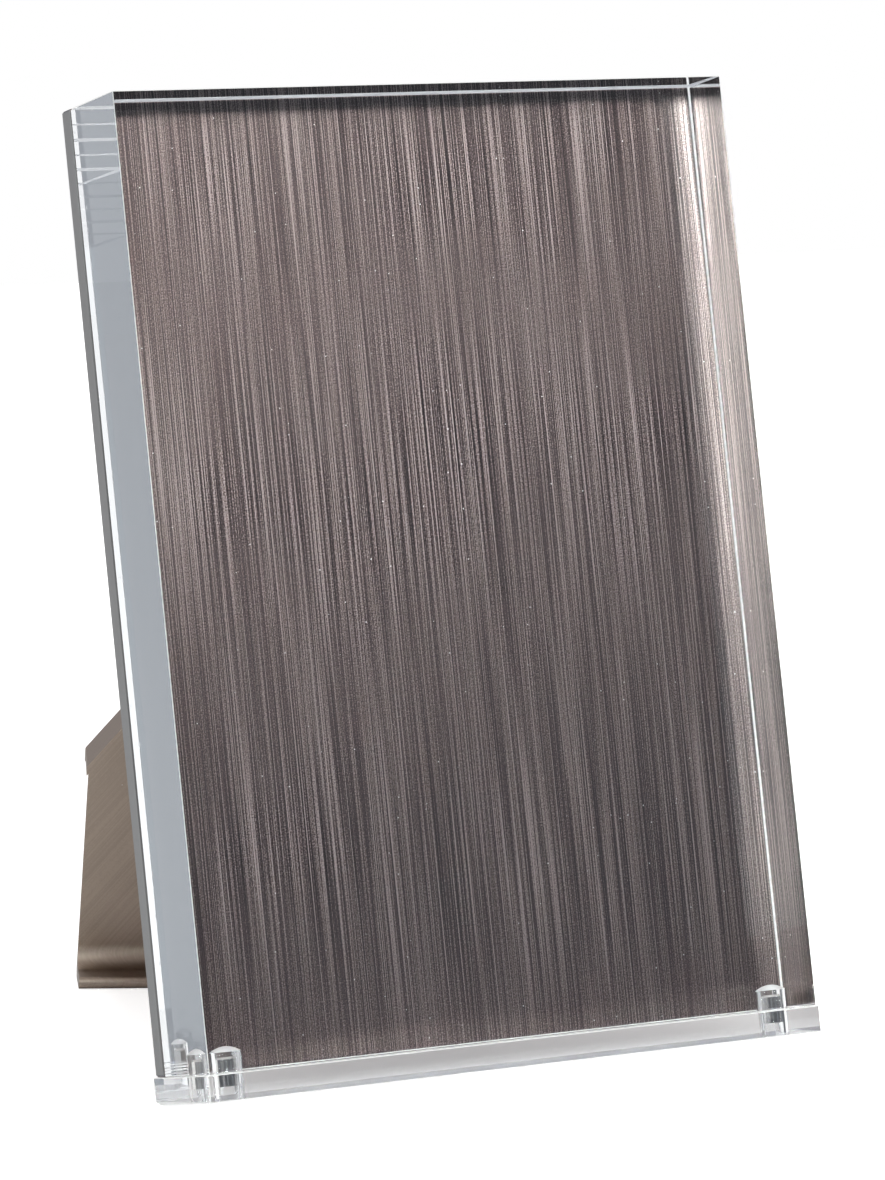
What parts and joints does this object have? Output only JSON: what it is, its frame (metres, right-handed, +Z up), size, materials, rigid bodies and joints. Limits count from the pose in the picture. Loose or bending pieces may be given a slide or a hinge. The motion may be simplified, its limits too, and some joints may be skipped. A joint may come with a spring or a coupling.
{
  "type": "acrylic block picture frame",
  "caption": "Clear acrylic block on a clear ledge with two steel dowels, in front of a brushed metal plate, leaning back on a folding channel leg; the block lifts off to change the print.",
  "frame": {"origin": "middle of the standing frame's footprint, on the surface it stands on", "axes": "+Z up, +X to the right as seen from the front, +Y from the front to the back"},
  "size_m": [0.1278, 0.121, 0.1827],
  "materials": {
    "clear_acrylic": "polished clear acrylic",
    "brushed_plate": "brushed up and down, dark bronze grey",
    "brushed_sheet": "brushed along the leg, dark bronze grey",
    "plated_steel": "bright plated"
  },
  "bodies": {
    "frame": {"back_plate": "brushed_plate", "base_ledge": "clear_acrylic", "left_dowel": "plated_steel", "right_dowel": "plated_steel", "hinge_saddle": "brushed_sheet", "hinge_pin": "plated_steel", "pin_cap": "plated_steel", "saddle_screws": "plated_steel"},
    "block": {"acrylic_block": "clear_acrylic"},
    "leg": {"easel_leg": "brushed_sheet"}
  },
  "joints": [
    {"name": "block_lift", "type": "slide", "parent": "frame", "child": "block", "axis": [0, 0.2448, 0.9696], "range_m": [0, 0.19]},
    {"name": "leg_fold", "type": "hinge", "parent": "frame", "child": "leg", "pos_m": [0.0277, -0.0034, 0.11095], "axis": [-0.7771, 0.1541, 0.6102], "range_deg": [0, 36]}
  ]
}
